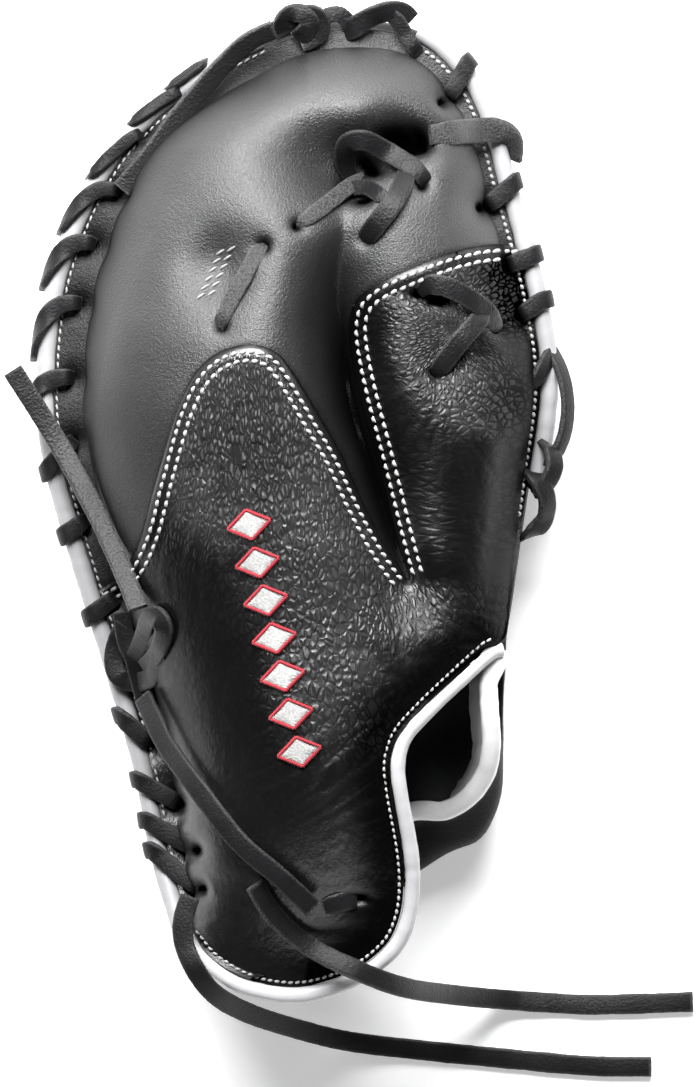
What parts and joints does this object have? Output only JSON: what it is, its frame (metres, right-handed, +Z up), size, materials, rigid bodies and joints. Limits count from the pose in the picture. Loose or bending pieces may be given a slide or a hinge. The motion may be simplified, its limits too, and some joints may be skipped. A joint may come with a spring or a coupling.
{
  "type": "first baseman mitt",
  "caption": "Padded leather first baseman mitt with a deep scooped pocket, laced and piped edge, open wrist and loose rawhide tails, lying palm down.",
  "frame": {"origin": "centre of the bounding box on the plane the mitt rests on, loose tails left out", "axes": "+Z up out of the back of the hand, +Y from the wrist toward the fingertips, +X toward the thumb side"},
  "size_m": [0.2131, 0.3322, 0.0915],
  "materials": {
    "smooth_leather": "smooth black leather, fine grain, satin",
    "tumbled_leather": "tumbled black leather, coarse grain with wrinkles",
    "palm_leather": "smooth black leather over padding",
    "binding": "pale grey-white leather binding, satin",
    "lace": "charcoal rawhide lace, matte, raw lighter edges"
  },
  "bodies": {
    "root": {"outer_shell": "smooth_leather", "hand_back": "tumbled_leather", "palm_shell": "palm_leather", "edge_binding": "binding", "thumb_binding": "binding", "wrist_binding_back": "binding", "wrist_binding_palm": "binding", "top_knot": "lace", "side_knot": "lace", "thumb_knot": "lace", "thumb_strap": "lace", "thumb_loop": "lace", "heel_strand": "lace", "back_lace_1": "lace", "back_lace_2": "lace", "back_lace_3": "lace", "back_lace_4": "lace", "back_lace_5": "lace", "back_lace_6": "lace", "edge_lace_1": "lace", "edge_lace_2": "lace", "edge_lace_3": "lace", "edge_lace_4": "lace", "edge_lace_5": "lace", "edge_lace_6": "lace", "edge_lace_7": "lace", "edge_lace_8": "lace", "edge_lace_9": "lace", "edge_lace_10": "lace", "edge_lace_11": "lace", "edge_lace_12": "lace", "edge_lace_13": "lace", "edge_lace_14": "lace", "thumb_lace_1": "lace", "thumb_lace_2": "lace", "thumb_lace_3": "lace", "thumb_lace_4": "lace", "top_lace_1": "lace", "top_lace_2": "lace", "top_lace_3": "lace", "top_tail": "lace", "side_tail": "lace", "lower_tail": "lace", "heel_tail_upper": "lace", "heel_tail_lower": "lace"}
  },
  "joints": []
}
